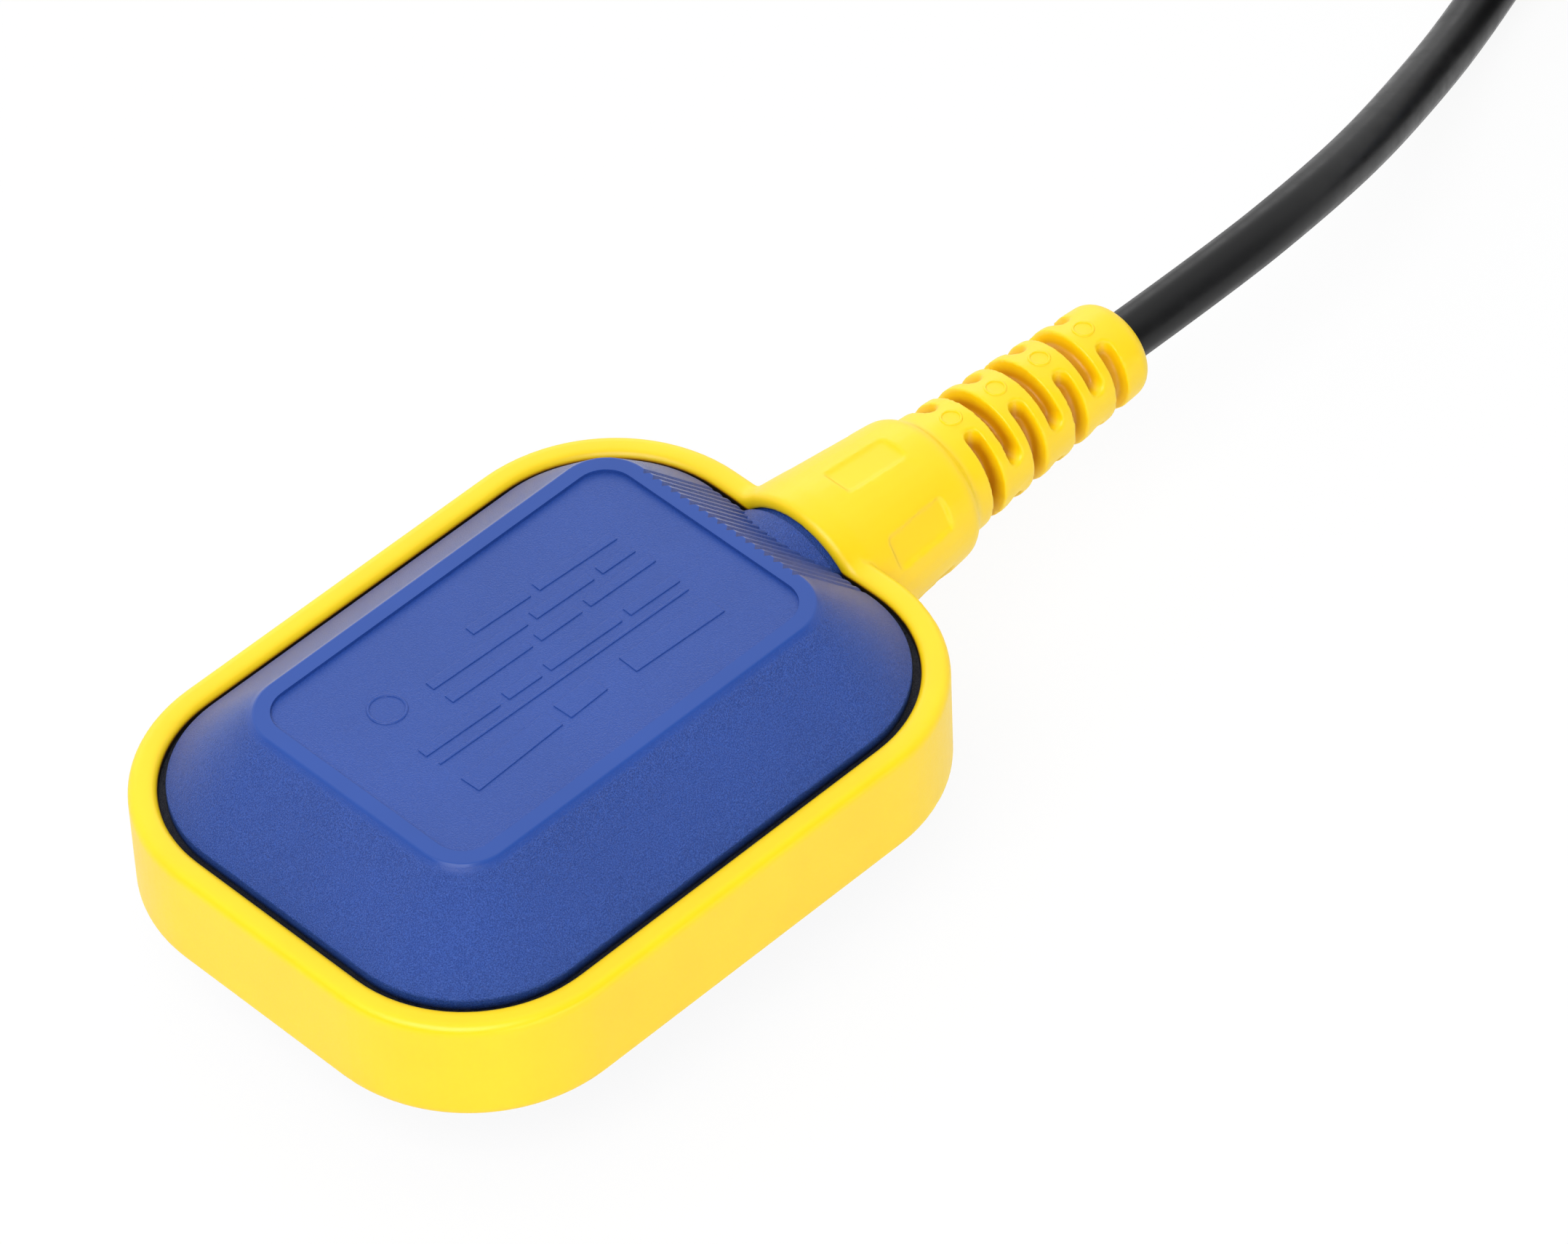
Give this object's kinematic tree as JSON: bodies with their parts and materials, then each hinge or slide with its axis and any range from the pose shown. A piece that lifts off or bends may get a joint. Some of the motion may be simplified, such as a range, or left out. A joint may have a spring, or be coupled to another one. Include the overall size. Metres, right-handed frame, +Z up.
{
  "type": "cable float switch",
  "caption": "Cable float switch: a rounded box float of sloped shells in a bumper band with a neck, a slotted flexible boot and a long round cable.",
  "frame": {"origin": "under the middle of the float with its neck and boot, at the flat border that it rests on", "axes": "+X from the float along its neck towards the cable, +Z up from the lower shell to the upper one"},
  "size_m": [0.3849, 0.1024, 0.0427],
  "materials": {
    "band_elastomer": "satin moulded elastomer, safety yellow",
    "shell_plastic": "spark-eroded texture, blue",
    "cable_sheath": "matt rubber sheath, black",
    "tie_plastic": "smooth nylon strap, black",
    "insulation_brown": "smooth",
    "insulation_blue": "smooth",
    "insulation_black": "smooth",
    "copper": "bright strands",
    "case_plastic": "smooth, natural white",
    "ball_steel": "polished",
    "lever_steel": "stamped",
    "switch_plastic": "smooth, black",
    "plunger_plastic": "smooth, red",
    "contact_brass": "stamped",
    "seal_rubber": "matt, black",
    "resin": "cast, dark"
  },
  "bodies": {
    "float": {"outer_band": "band_elastomer", "upper_shell": "shell_plastic", "lower_shell": "shell_plastic", "cable_entry": "cable_sheath", "cable": "cable_sheath", "cable_coil": "cable_sheath", "coil_tie": "tie_plastic", "tail_brown": "insulation_brown", "tail_blue": "insulation_blue", "tail_black": "insulation_black", "conductor_tips": "copper", "switch_case": "case_plastic", "switch_cover": "case_plastic", "lever_pin": "lever_steel", "microswitch_body": "switch_plastic", "microswitch_cover": "switch_plastic", "terminal_common": "contact_brass", "terminal_open": "contact_brass", "terminal_closed": "contact_brass", "lead_brown": "insulation_brown", "lead_blue": "insulation_blue", "lead_black": "insulation_black", "sealing_grommet": "seal_rubber", "resin_plug": "resin"},
    "ball": {"steel_ball": "ball_steel"},
    "lever": {"ball_lever": "lever_steel"},
    "plunger": {"microswitch_plunger": "plunger_plastic"},
    "blade": {"contact_blade": "contact_brass"}
  },
  "joints": [
    {"name": "ball_roll", "type": "slide", "parent": "float", "child": "ball", "axis": [1, 0, 0], "range_m": [0, 0.012]},
    {"name": "lever_turn", "type": "hinge", "parent": "float", "child": "lever", "pos_m": [-0.0259, 0, 0.01335], "axis": [0, 1, 0], "range_deg": [0, 7]},
    {"name": "plunger_press", "type": "slide", "parent": "float", "child": "plunger", "axis": [1, 0, 0], "range_m": [0, 0.00098]},
    {"name": "contact_snap", "type": "hinge", "parent": "float", "child": "blade", "pos_m": [-0.0185, -0.0065, 0.02135], "axis": [0, 0, -1], "range_deg": [0, 2.5]}
  ],
  "couplings": [
    {"joint": "lever_turn", "follows": "ball_roll", "rad_per_m": 10.18},
    {"joint": "plunger_press", "follows": "ball_roll", "ratio": 0.0816},
    {"joint": "contact_snap", "follows": "ball_roll", "rad_per_m": 3.636}
  ]
}
